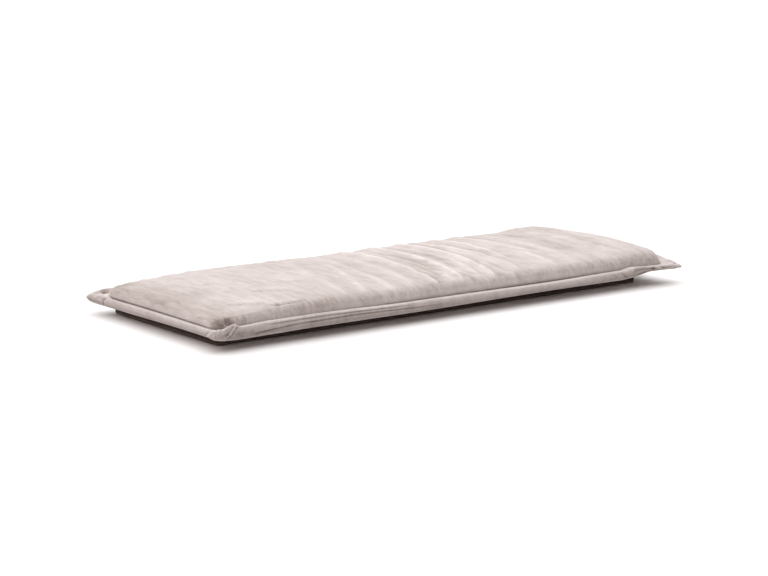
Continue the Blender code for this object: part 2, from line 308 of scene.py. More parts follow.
def grid_quads(index):
    """Quads over a grid of point numbers."""
    corners = [index[:-1, :-1], index[1:, :-1], index[1:, 1:], index[:-1, 1:]]
    return np.stack(corners, axis=-1).reshape(-1, 4).tolist()


def placed(name, data):
    """A new object of the scene that holds the data."""
    item = bpy.data.objects.new(name, data)
    bpy.context.scene.collection.objects.link(item)
    return item


def swollen(points, held, most):
    """How far the cloth solver moves each point of a coarse grid under pressure from inside.

    The grid is a little too large for its held rim, so it swells and buckles as sewn cloth does.
    No point counts as moved by more than the most.
    """
    columns, rows = points.shape[:2]
    index = np.arange(columns * rows).reshape(columns, rows)
    mesh = bpy.data.meshes.new("swelling")
    mesh.from_pydata(points.reshape(-1, 3).tolist(), [], grid_quads(index))
    cloth = placed("swelling", mesh)
    rim = cloth.vertex_groups.new(name="rim")
    rim.add(index[held].tolist(), 1.0, "REPLACE")
    solver = cloth.modifiers.new("cloth", "CLOTH")
    settings = solver.settings
    settings.quality = 5
    settings.mass = 0.25
    settings.tension_stiffness = 12
    settings.compression_stiffness = 8
    settings.shear_stiffness = 4
    settings.bending_stiffness = 0.35
    settings.shrink_min = -0.018
    settings.use_pressure = True
    settings.uniform_pressure_force = 4
    settings.vertex_group_mass = "rim"
    settings.effector_weights.gravity = 0
    solver.point_cache.frame_end = SWELL_FRAMES
    for step in range(1, SWELL_FRAMES + 1):
        bpy.context.scene.frame_set(step)
    settled = cloth.evaluated_get(bpy.context.evaluated_depsgraph_get()).to_mesh()
    moved = np.empty(columns * rows * 3)
    settled.vertices.foreach_get("co", moved)
    bpy.data.objects.remove(cloth)
    bpy.context.scene.frame_set(1)
    shift = moved.reshape(points.shape) - points
    length = np.linalg.norm(shift, axis=-1, keepdims=True)
    return shift * np.minimum(1, most / np.maximum(length, 1e-9))


def read_at(places, stops, rows):
    """Rows of numbers, one for each stop, read at other places by straight lines between them."""
    return np.stack([np.interp(places, stops, column) for column in rows.T], axis=-1)


def resampled(field, u, v, fine_u, fine_v):
    """The numbers of a coarse field read at the fine stops, jumbled, and then lightly smoothed.

    The reading is linear along each direction. The last reshape takes the numbers in another
    order than they stand in, so they don't come out in the field's own places: what reaches the
    pad is a fine uneven relief made of the solver's numbers, and not its swelling.
    """
    along = read_at(fine_u, u, field.reshape(len(u), -1)).reshape(len(fine_u), len(v), 3)
    rows = along.transpose(1, 0, 2).reshape(len(v), -1)
    fine = read_at(fine_v, v, rows).reshape(len(fine_u), 3, len(fine_v)).transpose(0, 2, 1)
    for _ in range(2):
        fine[1:-1] = (fine[:-2] + 2 * fine[1:-1] + fine[2:]) / 4
        fine[:, 1:-1] = (fine[:, :-2] + 2 * fine[:, 1:-1] + fine[:, 2:]) / 4
    return fine


PULL_FULL_SHADE = 0.008  # the downward pull that gets one whole tone of painted shade
# painted shade down the left end and along the front, and painted light in the seam's groove
LEFT_PAINTED_SHADE, LEFT_PAINTED_SHADE_REACH = 0.65, 0.120
FRONT_PAINTED_SHADE, FRONT_PAINTED_SHADE_REACH, FRONT_PAINTED_SHADE_EVEN = 0.42, 0.035, 0.7
FRONT_DEEPER_FROM, FRONT_DEEPER_EASE = 0.3, 0.3  # shares of the half length, to the left
SEAM_PAINTED_LIGHT, SEAM_PAINTED_LIGHT_REACH = 0.7, 0.0015


def pull_painted_shade(points, pulls):
    """Painted shade in the hollows of the downward pulls: a Gaussian round each, by how far it
    draws.
    """
    dark = np.zeros(points.shape[:-1])
    for x, y, z, reach, _, _, along_z in pulls:
        away = np.linalg.norm(points - np.array([x, y, z]), axis=-1)
        dark += min(along_z, 0) / PULL_FULL_SHADE * gaussian(away, reach)
    return dark


def side_shade(u, v):
    """Painted shade down the pad's left end and front, and painted light by the seam.

    The left end's share eases out with the distance from it, and the other two are Gaussians.
    """
    from_end, from_side = from_rim(u, v)
    left = (u < 0) * (1 - eased(from_end / LEFT_PAINTED_SHADE_REACH))
    deeper = eased((-u - FRONT_DEEPER_FROM) / FRONT_DEEPER_EASE)
    front = (v < 0) * gaussian(from_side, FRONT_PAINTED_SHADE_REACH)
    front = front * (FRONT_PAINTED_SHADE_EVEN + (1 - FRONT_PAINTED_SHADE_EVEN) * deeper)
    seam = gaussian(np.minimum(from_end, from_side), SEAM_PAINTED_LIGHT_REACH)
    return SEAM_PAINTED_LIGHT * seam - LEFT_PAINTED_SHADE * left - FRONT_PAINTED_SHADE * front


def set_rubbed(piece, rubbed):
    """Stores each point's painted light and shade, for its cover cloth."""
    held = piece.data.attributes.new("rubbed", "FLOAT", "POINT")
    held.data.foreach_set("value", rubbed.astype(np.float32))


def add_piece(name, points, faces, lengths, material):
    """A smooth mesh object from whole arrays, with a UV map that holds cloth lengths in metres."""
    mesh = bpy.data.meshes.new(name)
    mesh.from_pydata(points.tolist(), [], faces)
    flat = mesh.uv_layers.new(name="cloth")
    loops = np.empty(len(mesh.loops), np.int32)
    mesh.loops.foreach_get("vertex_index", loops)
    flat.data.foreach_set("uv", lengths[loops].astype(np.float32).ravel())
    mesh.materials.append(material)
    mesh.shade_smooth()
    return placed(name, mesh)


def new_group(name, outputs, **inputs):
    """A shader node group with those named number inputs and outputs."""
    group = bpy.data.node_groups.new(name, "ShaderNodeTree")
    group.interface.new_socket("Place", in_out="INPUT", socket_type="NodeSocketVector")
    for label, value in inputs.items():
        socket = group.interface.new_socket(label, in_out="INPUT", socket_type="NodeSocketFloat")
        socket.default_value = value
    for label in outputs:
        group.interface.new_socket(label, in_out="OUTPUT", socket_type="NodeSocketFloat")
    return group, group.nodes.new("NodeGroupInput"), group.nodes.new("NodeGroupOutput")


def math_node(tree, operation, first, second=None, third=None):
    """A Math node whose inputs are links or numbers."""
    node = tree.nodes.new("ShaderNodeMath")
    node.operation = operation
    for socket, value in zip(node.inputs, (first, second, third)):
        if isinstance(value, bpy.types.NodeSocket):
            tree.links.new(value, socket)
        elif value is not None:
            socket.default_value = value
    return node.outputs[0]


def set_inputs(node, values):
    """Sets a node's unlinked inputs by their labels."""
    for label, value in values.items():
        node.inputs[label].default_value = value


def noise_node(tree, place, stretch, scale, detail, roughness=0.55):
    """Noise on a place that is first stretched along its axes."""
    mapping = tree.nodes.new("ShaderNodeMapping")
    set_inputs(mapping, {"Scale": stretch})
    noise = tree.nodes.new("ShaderNodeTexNoise")
    set_inputs(noise, {"Scale": scale, "Detail": detail, "Roughness": roughness})
    tree.links.new(place, mapping.inputs["Vector"])
    tree.links.new(mapping.outputs[0], noise.inputs["Vector"])
    return noise.outputs["Fac"]


def make_weave():
    """Plain weave: warp and weft as two crossing sines that pass over each other in turn."""
    group, given, put = new_group("plain_weave", ["Height"], Pitch=0.0011)
    place = group.nodes.new("ShaderNodeSeparateXYZ")
    group.links.new(given.outputs["Place"], place.inputs[0])
    turns = []
    for axis in (0, 1):
        count = math_node(group, "DIVIDE", place.outputs[axis], given.outputs["Pitch"])
        turns.append(math_node(group, "MULTIPLY", count, math.pi))
    warp, weft = (math_node(group, "ABSOLUTE", math_node(group, "SINE", t)) for t in turns)
    over = math_node(group, "SINE", math_node(group, "ADD", turns[0], math.pi / 2))
    under = math_node(group, "SINE", math_node(group, "ADD", turns[1], math.pi / 2))
    cross = math_node(group, "MULTIPLY", over, under)
    lift = math_node(group, "MULTIPLY_ADD", cross, 0.5, 0.5)
    first = math_node(group, "MULTIPLY", warp, lift)
    second = math_node(group, "MULTIPLY", weft, math_node(group, "SUBTRACT", 1.0, lift))
    group.links.new(math_node(group, "ADD", first, second), put.inputs["Height"])
    return group


def make_nap():
    """The soft mottle of brushed cloth: wide patches, streaks across the cushion, fine fibres."""
    group, given, put = new_group("brushed_nap", ["Shade", "Fibre"], Streak=0.5)
    place = given.outputs["Place"]
    fibre = noise_node(group, place, (1, 0.45, 1), 620, 3, 0.7)
    noises = (
        noise_node(group, place, (1, 1, 1), 9, 3),
        noise_node(group, place, (1, 0.20, 0.5), 90, 4),
        noise_node(group, place, (1, 0.14, 0.4), 330, 3),
        fibre,
    )
    patch, streak, hair, fine = (math_node(group, "SUBTRACT", noise, 0.5) for noise in noises)
    mixed = math_node(group, "MULTIPLY_ADD", hair, 0.8, streak)
    mixed = math_node(group, "MULTIPLY", mixed, given.outputs["Streak"])
    mixed = math_node(group, "MULTIPLY_ADD", patch, 0.40, mixed)
    mixed = math_node(group, "ADD", mixed, math_node(group, "MULTIPLY", fine, 0.35))
    group.links.new(math_node(group, "ADD", mixed, 0.5), put.inputs["Shade"])
    group.links.new(fibre, put.inputs["Fibre"])
    return group


def set_group(tree, group, place, **values):
    """A node group placed in a material, with a place and its own values."""
    node = tree.nodes.new("ShaderNodeGroup")
    node.node_tree = group
    tree.links.new(place, node.inputs["Place"])
    set_inputs(node, values)
    return node


def new_material(name, constants):
    """A material, its node tree and its shader, with the constants set on the shader."""
    material = bpy.data.materials.new(name)
    material.use_nodes = True
    shader = material.node_tree.nodes["Principled BSDF"]
    set_inputs(shader, constants)
    return material, material.node_tree, shader


def set_tones(tree, shader, shade, tones):
    """Colours a shader by a ramp that runs through the tones, each a position and a colour."""
    ramp = tree.nodes.new("ShaderNodeValToRGB")
    for element, (position, tone) in zip(ramp.color_ramp.elements, (tones[0], tones[-1])):
        element.position = position
        element.color = (*tone, 1)
    for position, tone in tones[1:-1]:
        ramp.color_ramp.elements.new(position).color = (*tone, 1)
    tree.links.new(shade, ramp.inputs["Fac"])
    tree.links.new(ramp.outputs["Color"], shader.inputs["Base Color"])


def set_bump(tree, shader, height, distance, strength):
    """Bumps a shader's normal by a height that stands for that distance."""
    bump = tree.nodes.new("ShaderNodeBump")
    set_inputs(bump, {"Distance": distance, "Strength": strength})
    tree.links.new(height, bump.inputs["Height"])
    tree.links.new(bump.outputs["Normal"], shader.inputs["Normal"])


weave, nap = make_weave(), make_nap()

COVER_TONES = (
    # share, colour: from the deepest painted shade in a hollow to the palest painted highlight on
    # a top
    (0.0, (0.150, 0.113, 0.100)),
    (0.24, (0.345, 0.293, 0.273)),
    (0.54, (0.490, 0.441, 0.424)),
    (0.92, (0.640, 0.594, 0.582)),
)
COVER_PITCH = 0.0012
# how far the painted light and shade move a point along the tones
PAINTED_SHADING_SHARE = 0.40


def make_cover(name, streak):
    """Pale brushed cloth: mottled between its tones, matt with a soft sheen, and finely woven."""
    constants = {
        "Sheen Weight": 0.25,
        "Sheen Roughness": 0.45,
        "Sheen Tint": (1.0, 0.95, 0.93, 1),
        "Specular IOR Level": 0.18,
    }
    material, tree, shader = new_material(name, constants)
    at = tree.nodes.new("ShaderNodeTexCoord")
    mottle = set_group(tree, nap, at.outputs["Object"], Streak=streak)
    thread = set_group(tree, weave, at.outputs["UV"], Pitch=COVER_PITCH)
    # the painted light and shade of each point: a painted highlight above 0, painted shade below 0
    rubbed = tree.nodes.new("ShaderNodeAttribute")
    rubbed.attribute_name = "rubbed"
    shade = math_node(
        tree, "MULTIPLY_ADD", rubbed.outputs["Fac"], PAINTED_SHADING_SHARE, mottle.outputs["Shade"]
    )
    set_tones(tree, shader, shade, COVER_TONES)
    rough = math_node(tree, "MULTIPLY_ADD", mottle.outputs["Fibre"], 0.14, 0.80)
    tree.links.new(rough, shader.inputs["Roughness"])
    height = math_node(tree, "MULTIPLY", thread.outputs["Height"], 0.6)
    height = math_node(tree, "ADD", height, mottle.outputs["Fibre"])
    set_bump(tree, shader, height, 0.0005, 0.7)
    return material


pad_cloth = make_cover("sand_pad_cloth", 0.5)

stops_x, stops_y = graded(PAD_STEPS_X, PAD_GRADE_X), graded(PAD_STEPS_Y, PAD_GRADE_Y)
u, v = np.meshgrid(stops_x, stops_y, indexing="ij")
top = pad_crown(u, v)
rise = np.clip((top[..., 2] - ROLL_HEIGHT) / RISE_FADE, 0, 1)
creased, rubbed = crease_relief(top[..., 0], top[..., 1])
top = top + normals_of(top) * (rise * creased)[..., None]
coarse_x, coarse_y = stops_x[::2], stops_y[::2]
coarse = top[::2, ::2]
on_rim = np.ones(coarse.shape[:2], bool)
on_rim[1:-1, 1:-1] = False
shift = swollen(coarse, on_rim, MOST_SWELL)
top = top + resampled(shift, coarse_x, coarse_y, stops_x, stops_y)
relief = gathers(top, u, v) + rise * ripples(top)
top = pulled(top + normals_of(top) * relief[..., None], PAD_PULLS)

pad_index = np.arange(u.size).reshape(u.shape)
rim = np.concatenate(
    [pad_index[:-1, 0], pad_index[-1, :-1], pad_index[:0:-1, -1], pad_index[0, :0:-1]]
)
rim_u, rim_v = u.ravel()[rim], v.ravel()[rim]


def at_height(outline, height):
    """A loop of points at one height over an outline."""
    x, y = outline
    return np.stack([x, y, np.full_like(x, height)], axis=-1)


def foot_line(u, v, inset):
    """The outline of the pad's foot, where the dark cloth holds it, moved inwards."""
    x, y = pressed(u, v, FOOT_HALF_X - inset, FOOT_HALF_Y - inset, FOOT_CORNER - inset)
    return x + FOOT_CENTRE_X, y + FOOT_CENTRE_Y


def foot_loops(u, v, section):
    """Loops of points over the foot's outline, one for each inset and height of a section."""
    return [at_height(foot_line(u, v, inset), height) for inset, height in section]


def cloth_map(points):
    """The mean cloth length along each direction of a grid of points, at every point."""
    along = np.linalg.norm(np.diff(points, axis=0), axis=-1).mean(1)
    across = np.linalg.norm(np.diff(points, axis=1), axis=-1).mean(0)
    lengths = [np.append(0, np.cumsum(steps)) for steps in (along, across)]
    return np.stack(np.meshgrid(*lengths, indexing="ij"), axis=-1).reshape(-1, 2)


def ring_quads(lower, upper):
    """Quads between two loops of point numbers, the first below the second, facing outwards."""
    return np.stack([lower, np.roll(lower, -1), np.roll(upper, -1), upper], axis=-1).tolist()


def seam_foot(outline):
    """The height of the seam's foot, which rises round the front right corner."""
    x, y = outline
    away = np.hypot(x - HALF_LENGTH + SEAM_INSET_X, y + HALF_WIDTH - SEAM_INSET_Y)
    return SEAM_FOOT + SEAM_FOOT_RISE * (1 - eased((away - FOOT_RISE_FROM) / FOOT_RISE_REACH))


roll_turns = np.radians([30, 60, 90])
under_rolls = [
    at_height(
        seam_line(rim_u, rim_v, roll_out(rim_u) * math.cos(turn)),
        roll_height(rim_u) - (roll_height(rim_u) - SEAM_TOP) * math.sin(turn),
    )
    for turn in roll_turns
]
seam = seam_line(rim_u, rim_v, 0)
PAD_FOOT = (
    # inset, height
    (-FOOT_EASE, FOOT_TOP + FOOT_EASE),
    (FOOT_CLOTH, FOOT_TOP),
    (FOOT_CLOTH + FOOT_TURN, FOOT_CLOTH),
)
pad_loops = [*under_rolls, at_height(seam, seam_foot(seam)), *foot_loops(rim_u, rim_v, PAD_FOOT)]
pad_points = np.concatenate([top.reshape(-1, 3), *pad_loops])
pad_faces = grid_quads(pad_index)
loop_numbers = [rim] + [
    u.size + level * len(rim) + np.arange(len(rim)) for level in range(len(pad_loops))
]
for upper, lower in zip(loop_numbers[:-1], loop_numbers[1:]):
    pad_faces += ring_quads(lower, upper)
pad_faces.append(loop_numbers[-1][::-1].tolist())
pad_map = np.concatenate([cloth_map(top)] + [loop[:, :2] for loop in pad_loops])
pad = add_piece("pad_in_cover_cloth", pad_points, pad_faces, pad_map, pad_cloth)
# The pad's painted light and shade: painted light under the roll and down to the foot; on the top,
# the creases' painted highlights and shade, painted shade in the pulled hollows, and the sides'
# painted shade and light.
pad_rubbed = np.full(len(pad_points), SEAM_PAINTED_LIGHT)
pad_rubbed[: u.size] = (rise * rubbed + pull_painted_shade(top, PAD_PULLS) + side_shade(u, v)).ravel()
set_rubbed(pad, pad_rubbed)
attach(pad, "root")
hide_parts("cushion_pad")


# The border strip. A long strip of the cover cloth, folded over itself and sewn round the pad's
# side so that its lip stands up by the seam. It ends in a pointed ear at each corner, where the
# strip is mitred and a second fold of it wraps the corner.

STRIP_LONG_STEPS, STRIP_SHORT_STEPS = 380, 170
STRIP_GRADE = 0.72
STRIP_AROUND = 84
STRIP_GAP = 0.0003
EDGE_DRAW_IN, EDGE_DRAW_REACH = 0.006, 0.080
BLUNT_REACH = 0.0035
POCKET_REACH, POCKET_AT, POCKET_WIDTH = 0.030, 0.34, 0.22  # the last two in share_out
TOP_SIDE_FROM, TOP_SIDE_EASE = 0.6, 0.3  # in share_up
OUTER_FROM, OUTER_EASE = 0.45, 0.4  # the outer fold, in share_out
EARS = (
    # sign_x, sign_y, tip_height, thickness, above, below_on_long, below_on_short, pocket, blunt
    (-1, -1, 0.034, 0.019, 0.045, 0.05, 0.04, 0.004, 0.004),
    (1, -1, 0.0335, 0.01, 0.028, 0.06, 0.08, 0.003, 0.0026),
    (1, 1, 0.034, 0.006, 0.03, 0.07, 0.07, 0.005, 0.001),
    (-1, 1, 0.0272, 0.02, 0.036, 0.06, 0.11, 0.004, 0.004),
)
EDGE = (
    # share_x, share_y, foot, lip
    (-0.9, -1, 0.019, 0.045),
    (-0.8, -1, 0.0195, 0.047),
    (-0.66, -1, 0.0205, 0.0468),
    (-0.2, -1, 0.0198, 0.0425),
    (0.43, -1, 0.0225, 0.0405),
    (0.74, -1, 0.0215, 0.043),
    (0.79, -1, 0.0235, 0.0475),
    (0.88, -1, 0.0315, 0.044),
    (1, -0.97, 0.032, 0.043),
    (1, -0.86, 0.028, 0.047),
    (1, -0.7, 0.025, 0.0535),
    (1, -0.4, 0.022, 0.047),
    (1, 0.6, 0.022, 0.043),
    (0.5, 1, 0.0215, 0.043),
    (-0.5, 1, 0.0215, 0.043),
    (-0.95, 1, 0.0205, 0.0465),
    (-1, 0.7, 0.0215, 0.0404),
    (-1, -0.6, 0.0238, 0.0408),
    (-1, -0.8, 0.0255, 0.0412),
)
STRIP_SECTION = (
    # share_out, share_up
    (0, 0.03),
    (0, 0.45),
    (0, 0.93),
    (0.16, 0.97),
    (0.42, 0.98),
    (0.7, 1.06),
    (0.96, 1.03),
    (1.06, 0.86),
    (1.03, 0.63),
    (0.93, 0.4),
    (0.75, 0.18),
    (0.52, 0.01),
    (0.32, 0),
    (0.14, 0),
)


def round_the_rim(long_stops, short_stops):
    """The stops in order round the rim, counter-clockwise from the front left corner."""
    one_long, one_short = np.ones(len(long_stops) - 1), np.ones(len(short_stops) - 1)
    u = np.concatenate([long_stops[:-1], one_short, long_stops[:0:-1], -one_short])
    v = np.concatenate([-one_long, short_stops[:-1], one_long, short_stops[:0:-1]])
    return u, v


def edge_line(u, v):
    """The strip's outer edge: straight sides drawn in a little between four blunt tips."""
    from_end, from_side = from_rim(u, v)
    inset_x = np.where(from_end < 1e-6, EDGE_DRAW_IN * eased(from_side / EDGE_DRAW_REACH), 0)
    inset_y = np.where(from_side < 1e-6, EDGE_DRAW_IN * eased(from_end / EDGE_DRAW_REACH), 0)
    blunt = sum(
        ear[-1] * (np.sign(u) == ear[0]) * (np.sign(v) == ear[1])
        * gaussian(from_end + from_side, BLUNT_REACH)
        for ear in EARS
    )
    x = u * HALF_LENGTH - np.sign(u) * (inset_x + blunt)
    return x, v * HALF_WIDTH - np.sign(v) * (inset_y + blunt)


def edge_heights(u, v):
    """The strip's foot and lip round the cushion, eased between the places in the table."""
    places = np.array(EDGE)
    places = places[np.argsort(np.arctan2(places[:, 1], places[:, 0]))]
    turns = np.arctan2(places[:, 1], places[:, 0])
    turns = np.concatenate([[turns[-1] - 2 * np.pi], turns, [turns[0] + 2 * np.pi]])
    heights = np.concatenate([places[-1:, 2:], places[:, 2:], places[:1, 2:]])
    turn = np.arctan2(v, u)
    before = np.clip(np.searchsorted(turns, turn, side="right") - 1, 0, len(turns) - 2)
    share = eased((turn - turns[before]) / (turns[before + 1] - turns[before]))[:, None]
    return (heights[before] + (heights[before + 1] - heights[before]) * share).T


def closed_spline(corners, count):
    """A closed cubic B-spline read at even parameters: each point mixes four corners in a row."""
    at = np.arange(count) / count * len(corners)
    first = np.floor(at).astype(int)
    t = (at - first)[:, None]
    mix = [(1 - t) ** 3, 3 * t**3 - 6 * t**2 + 4, -3 * t**3 + 3 * t**2 + 3 * t + 1, t**3]
    spread = [corners[(first + step) % len(corners)] for step in range(4)]
    return sum(part * weight for part, weight in zip(spread, mix)) / 6


def strip_surface(u, v, section):
    """The strip over stations round the rim and points round its section.

    Each point lies at its share of the way from the seam to the edge, and from foot to lip. Near
    a tip the lip and the foot close in on the tip's height, and a pocket sinks beside the pad.
    """
    inner_x, inner_y = seam_line(u, v, STRIP_GAP)
    outer_x, outer_y = edge_line(u, v)
    foot, lip = edge_heights(u, v)
    share_out, share_up = section[:, 0], section[:, 1]
    lip_change, foot_change, hollow = (np.zeros_like(u) for _ in range(3))
    for sign_x, sign_y, tip_height, thickness, above, below_long, below_short, pocket, _ in EARS:
        from_end, from_side = (1 - sign_x * u) * HALF_LENGTH, (1 - sign_y * v) * HALF_WIDTH
        near_above = np.maximum(1 - (from_end + from_side) / above, 0) ** 1.5
        near_below = np.maximum(1 - from_end / below_long - from_side / below_short, 0) ** 1.5
        lip_change += near_above * (tip_height + thickness / 2 - lip)
        foot_change += near_below * (tip_height - thickness / 2 - foot)
        hollow += pocket * gaussian(from_end + from_side, POCKET_REACH)
    low = foot[:, None] + foot_change[:, None] * share_out
    high = lip[:, None] + lip_change[:, None] * share_out
    x = inner_x[:, None] + (outer_x - inner_x)[:, None] * share_out
    y = inner_y[:, None] + (outer_y - inner_y)[:, None] * share_out
    top_side = eased((share_up - TOP_SIDE_FROM) / TOP_SIDE_EASE)
    sink = hollow[:, None] * top_side * gaussian(share_out - POCKET_AT, POCKET_WIDTH)
    return np.stack([x, y, low + (high - low) * share_up - sink], axis=-1)


STRIP_PULLS = (
    # x, y, z, reach, along_x, along_y, along_z
    (-0.562, -0.243, 0.0465, 0.016, 0, -0.001, 0.0062),
    (-0.588, -0.226, 0.043, 0.0055, 0, 0, -0.006),
    (-0.576, -0.229, 0.043, 0.0055, 0, 0, -0.006),
    (-0.56, -0.226, 0.044, 0.007, 0, 0, -0.01),
    (-0.598, -0.243, 0.024, 0.006, 0.003, -0.001, 0),
    (-0.584, 0.223, 0.042, 0.0056, 0, 0, -0.014),
    (-0.568, 0.227, 0.045, 0.0075, 0, 0, -0.011),
    (-0.556, 0.226, 0.045, 0.006, 0, 0, -0.006),
    (-0.577, 0.218, 0.043, 0.0045, 0, 0, 0.003),
    (0.532, -0.243, 0.041, 0.006, 0, -0.0012, 0.0004),
    (0.57, -0.244, 0.035, 0.0035, 0, 0.006, 0),
    (0.58, -0.244, 0.04, 0.01, 0, -0.001, 0),
    (0.593, -0.238, 0.037, 0.006, 0, 0, 0.0016),
)
FOLDS = (
    # half_width, height, then a path: x, y, z, or x, z where it lies on the front band
    (0.0045, -0.001, (-0.552, 0.031), (-0.535, 0.032), (-0.515, 0.031)),
    (0.0015, 0.002, (-0.5985, -0.2156, 0.0328), (-0.5985, -0.233, 0.0405),
     (-0.597, -0.2425, 0.0435), (-0.5851, 0.0425), (-0.5785, 0.044), (-0.5719, 0.046),
     (-0.5674, 0.0485), (-0.563, 0.051), (-0.5453, 0.0505)),
    (0.0022, -0.003, (-0.593, -0.235, 0.044), (-0.58, -0.237, 0.043), (-0.5734, -0.237, 0.044),
     (-0.5668, -0.236, 0.046), (-0.56, -0.235, 0.049)),
    (0.004, -0.0012, (-0.59, 0.034), (-0.578, 0.035)),
    (0.0016, 0.0022, (-0.5844, 0.0232), (-0.5756, 0.0277), (-0.5689, 0.0306), (-0.5622, 0.0374),
     (-0.5577, 0.0406), (-0.5545, 0.047)),
    (0.0016, -0.0022, (-0.5755, 0.0315), (-0.5711, 0.0357), (-0.5666, 0.0389), (-0.56, 0.044)),
    (0.0018, -0.0026, (-0.5735, 0.0227), (-0.569, 0.0259), (-0.5646, 0.0282), (-0.5601, 0.0323),
     (-0.5567, 0.0367), (-0.552, 0.043)),
    (0.0015, 0.002, (-0.5985, -0.2156, 0.0328), (-0.5985, -0.2226, 0.036),
     (-0.5985, -0.2296, 0.0391), (-0.596, -0.2366, 0.0415), (-0.59, -0.242, 0.043)),
    (0.0013, -0.0016, (-0.598, -0.208, 0.033), (-0.598, -0.214, 0.037), (-0.595, -0.22, 0.04),
     (-0.585, -0.23, 0.043)),
    (0.0022, 0.0026, (-0.597, 0.1761, 0.024), (-0.597, 0.1761, 0.0316), (-0.597, 0.1736, 0.036),
     (-0.597, 0.1694, 0.0397), (-0.593, 0.1633, 0.042)),
    (0.002, -0.0024, (-0.597, 0.1842, 0.0225), (-0.597, 0.1842, 0.0303),
     (-0.597, 0.1796, 0.0371), (-0.597, 0.1754, 0.0408), (-0.588, 0.17, 0.043)),
    (0.0016, 0.002, (-0.5967, 0.2126, 0.038), (-0.594, 0.2031, 0.0395), (-0.59, 0.1926, 0.041)),
    (0.0014, -0.0018, (-0.598, 0.233, 0.033), (-0.597, 0.22, 0.03), (-0.597, 0.2, 0.027)),
    (0.0018, 0.002, (-0.572, 0.216, 0.046), (-0.579, 0.211, 0.045), (-0.586, 0.208, 0.044)),
    (0.0022, 0.0016, (0.5228, -0.244, 0.0425), (0.5289, -0.2445, 0.0404),
     (0.536, -0.244, 0.038)),
    (0.0014, -0.0018, (0.516, 0.044), (0.523, -0.2435, 0.0395), (0.53, -0.2435, 0.037)),
    (0.0014, -0.0022, (0.538, -0.244, 0.044), (0.543, -0.2445, 0.04), (0.5468, -0.244, 0.0372)),
    (0.0022, 0.002, (0.5347, -0.244, 0.045), (0.5435, -0.244, 0.0456), (0.5586, -0.244, 0.044)),
    (0.0014, -0.0022, (0.5468, -0.244, 0.0385), (0.5558, -0.244, 0.0386),
     (0.5708, -0.244, 0.0381)),
    (0.0014, 0.0016, (0.5469, -0.244, 0.0363), (0.5559, -0.244, 0.0353),
     (0.564, -0.244, 0.0358)),
    (0.0018, -0.0032, (0.576, -0.2445, 0.03), (0.579, -0.242, 0.038), (0.588, -0.233, 0.039),
     (0.597, -0.224, 0.037)),
    (0.002, 0.0022, (0.569, -0.2445, 0.033), (0.573, -0.24, 0.04), (0.583, -0.23, 0.041)),
    (0.0014, -0.0022, (0.4779, 0.0262), (0.4955, 0.0297), (0.5131, 0.0343), (0.5249, 0.0362)),
    (0.0014, -0.002, (0.46, 0.0369), (0.4834, 0.0397), (0.507, 0.0393), (0.5249, 0.0373)),
    (0.0014, -0.0018, (0.462, 0.043), (0.485, 0.0435), (0.507, 0.042), (0.522, 0.041)),
    (0.0016, -0.0016, (0.425, 0.04), (0.435, 0.032), (0.442, 0.025)),
    (0.0016, -0.0014, (0.405, 0.038), (0.412, 0.03), (0.415, 0.024)),
)
FOLD_FRONT = -0.243  # y on the front band
FOLD_STEP, FOLD_REACH = 0.0015, 0.012
FOLD_HIGHLIGHT_HEIGHT = 0.0034  # the fold height for a full painted highlight
GROOVES = (
    # x, share_up of the upper groove, share_up of the lower one
    (-0.52, 0.8, 0.2),
    (-0.495, 0.82, 0.33),
    (-0.408, 0.85, 0.56),
    (-0.267, 0.86, 0.62),
    (-0.17, 0.84, 0.58),
    (0.05, 0.82, 0.5),
)
GROOVE_RUNS = (
    # start_x, start_ease, end_x, end_ease, width, depth: of the upper and the lower groove
    (-0.50, 0.05, -0.10, 0.12, 0.050, 1),
    (-0.52, 0.03, 0.02, 0.20, 0.060, 1.1),
)
# painted shade in the front band's grooves
GROOVE_DEPTH, GROOVE_PAINTED_SHADE = 0.0026, 0.6
FRONT_FROM, FRONT_EASE = 0.215, 0.015  # the front band lies beyond this distance from the middle
STRIP_PUCKER, STRIP_SAG = 0.0007, 0.0010
UNDER_PAINTED_SHADE, UNDER_TOP, UNDER_EASE = 0.85, 0.85, 0.95  # the painted shade on the outer fold's lower part, where it turns under
# painted light on the strip's seam side, where the groove's shade falls
SEAM_SIDE_PAINTED_LIGHT = 0.4


def laid(path, points):
    """A path's points about one step apart, each moved to the nearest point of the surface."""
    length = np.append(0, np.cumsum(np.linalg.norm(np.diff(path, axis=0), axis=-1)))
    stops = np.linspace(0, length[-1], 2 + int(length[-1] / FOLD_STEP))
    path = read_at(stops, length, path)
    near = [np.argmin(((points - place) ** 2).sum(-1)) for place in path]
    path = points[near]
    path[1:-1] = (path[:-2] + 2 * path[1:-1] + path[2:]) / 4
    return path


def along_paths(points, paths):
    """The relief of folds, each a bell of the distance to its path, and its painted light and
    shade.
    """
    relief, rubbed = np.zeros(points.shape[:-1]), np.zeros(points.shape[:-1])
    for half_width, height, *path in paths:
        corners = np.array([(x, *(y or [FOLD_FRONT]), z) for x, *y, z in path])
        low, high = corners.min(0) - FOLD_REACH, corners.max(0) + FOLD_REACH
        near = np.all((points > low) & (points < high), axis=-1)
        around = points[near]
        line = laid(corners, around)
        nearest = np.full(len(around), 1.0)
        for start, end in zip(line[:-1], line[1:]):
            run = end - start
            share = np.clip((around - start) @ run / max(run @ run, 1e-12), 0, 1)
            away = np.linalg.norm(around - start - share[..., None] * run, axis=-1)
            nearest = np.minimum(nearest, away)
        bell = gaussian(nearest, half_width)
        relief[near] += height * bell
        rubbed[near] += height / FOLD_HIGHLIGHT_HEIGHT * bell
    return relief, np.clip(rubbed, -1.3, 1.0)


